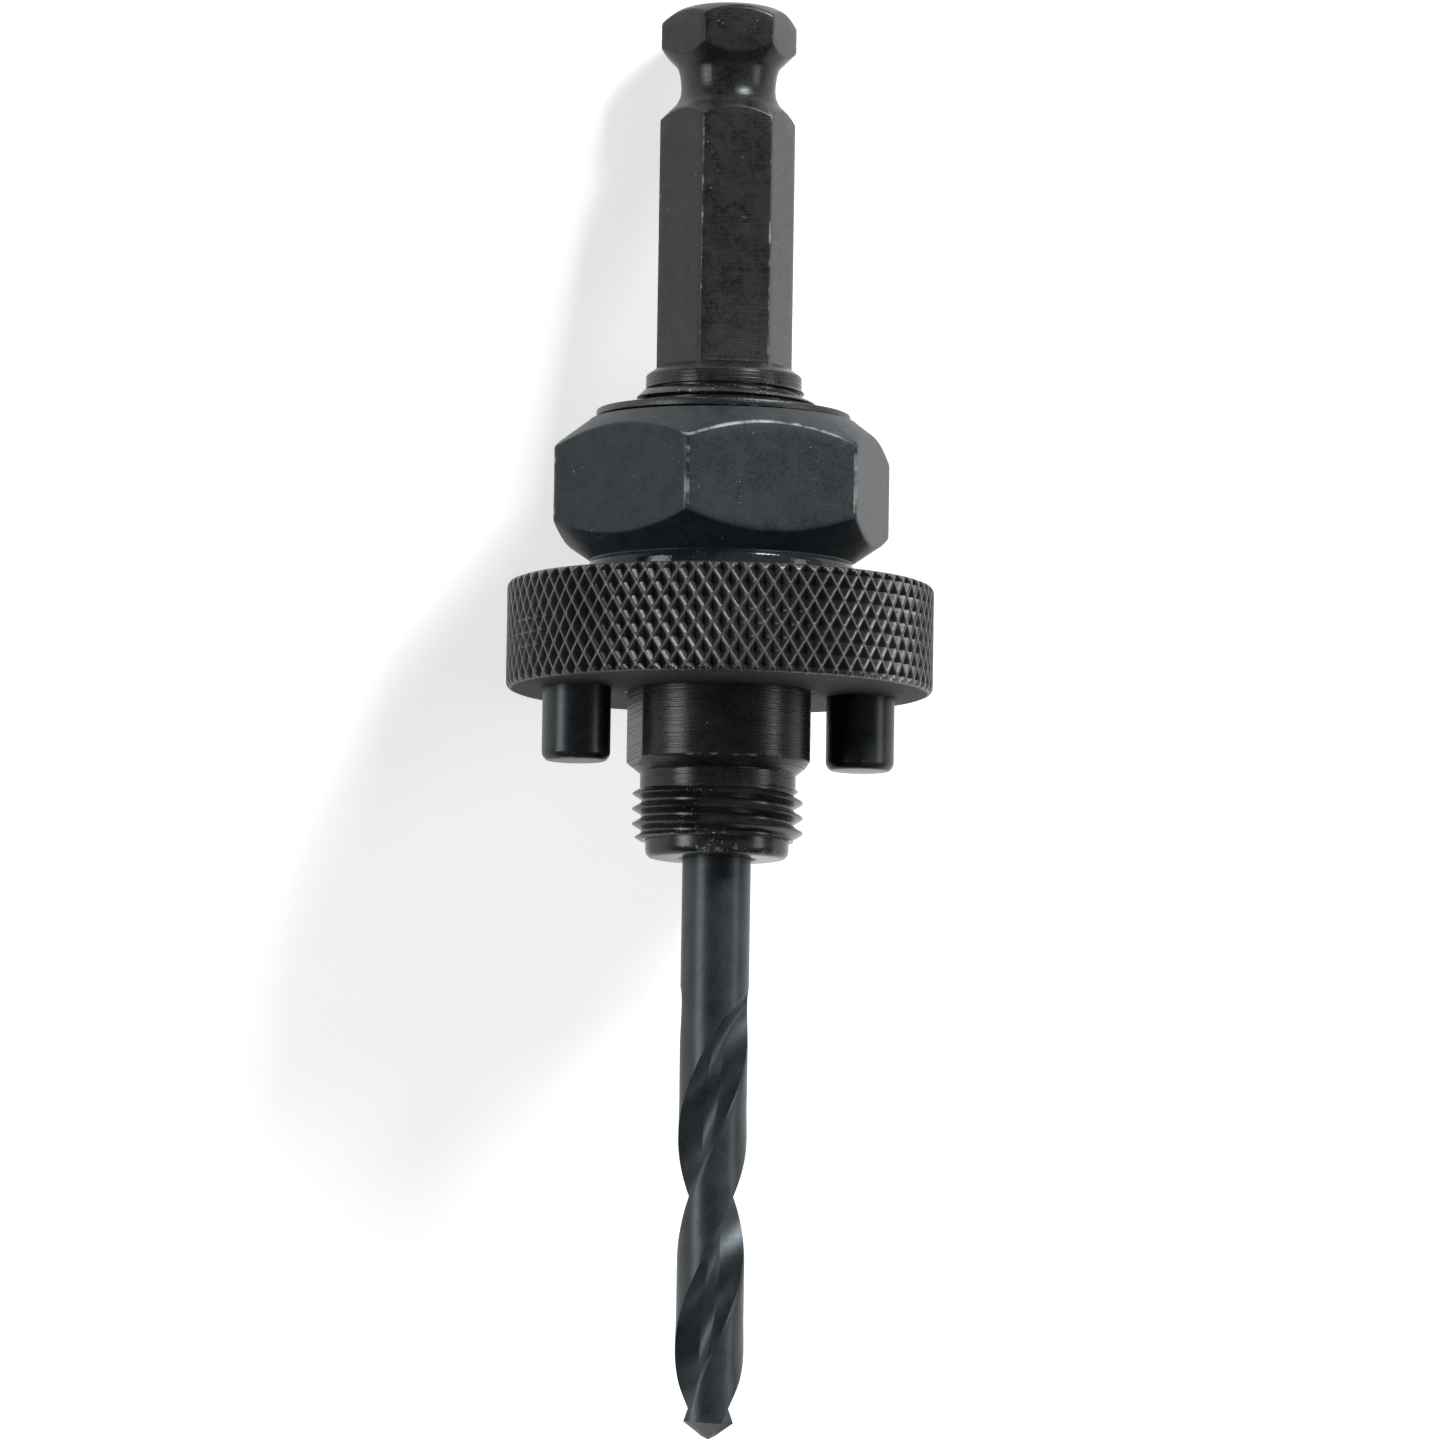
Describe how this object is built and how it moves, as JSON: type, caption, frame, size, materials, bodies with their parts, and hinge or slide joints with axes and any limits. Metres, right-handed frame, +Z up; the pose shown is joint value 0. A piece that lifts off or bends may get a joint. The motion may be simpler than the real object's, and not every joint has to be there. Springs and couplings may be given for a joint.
{
  "type": "hole saw arbor",
  "caption": "Hole saw arbor: hex shank with a power groove, hex nut, knurled sliding plate with drive pins, threaded nose and a pilot twist drill.",
  "frame": {"origin": "middle of the bounding box on the surface that the tool lies on", "axes": "+Z up, +Y from the drill's point to the shank's end, the tool's axis tipped down towards the shank as it lies on the plate's rim and the shank's end"},
  "size_m": [0.0396, 0.13, 0.0421],
  "materials": {
    "mandrel_black": "black oxide, satin, turned",
    "nut_black": "black oxide, satin, worn edges",
    "plate_grey": "black oxide, knurled, worn ridges",
    "pin_black": "black oxide, ground",
    "ring_dark": "phosphated spring steel",
    "screw_black": "black oxide",
    "drill_blue": "steam-blued, satin"
  },
  "bodies": {
    "arbor": {"mandrel": "mandrel_black", "retaining_ring": "ring_dark", "set_screw": "screw_black", "pilot_drill": "drill_blue"},
    "plate": {"drive_plate": "plate_grey", "drive_pin_left": "pin_black", "drive_pin_right": "pin_black"},
    "nut": {"hex_nut": "nut_black"}
  },
  "joints": [
    {"name": "plate_slide", "type": "slide", "parent": "arbor", "child": "plate", "axis": [0, 0.9663, -0.2575], "range_m": [-0.00635, 0]},
    {"name": "nut_turn", "type": "hinge", "parent": "plate", "child": "nut", "pos_m": [0, 0.01891, 0.01701], "axis": [0, 0.9663, -0.2575], "range_deg": [-1440, 0]}
  ],
  "couplings": [
    {"joint": "nut_turn", "follows": "plate_slide", "rad_per_m": 3957.9}
  ]
}
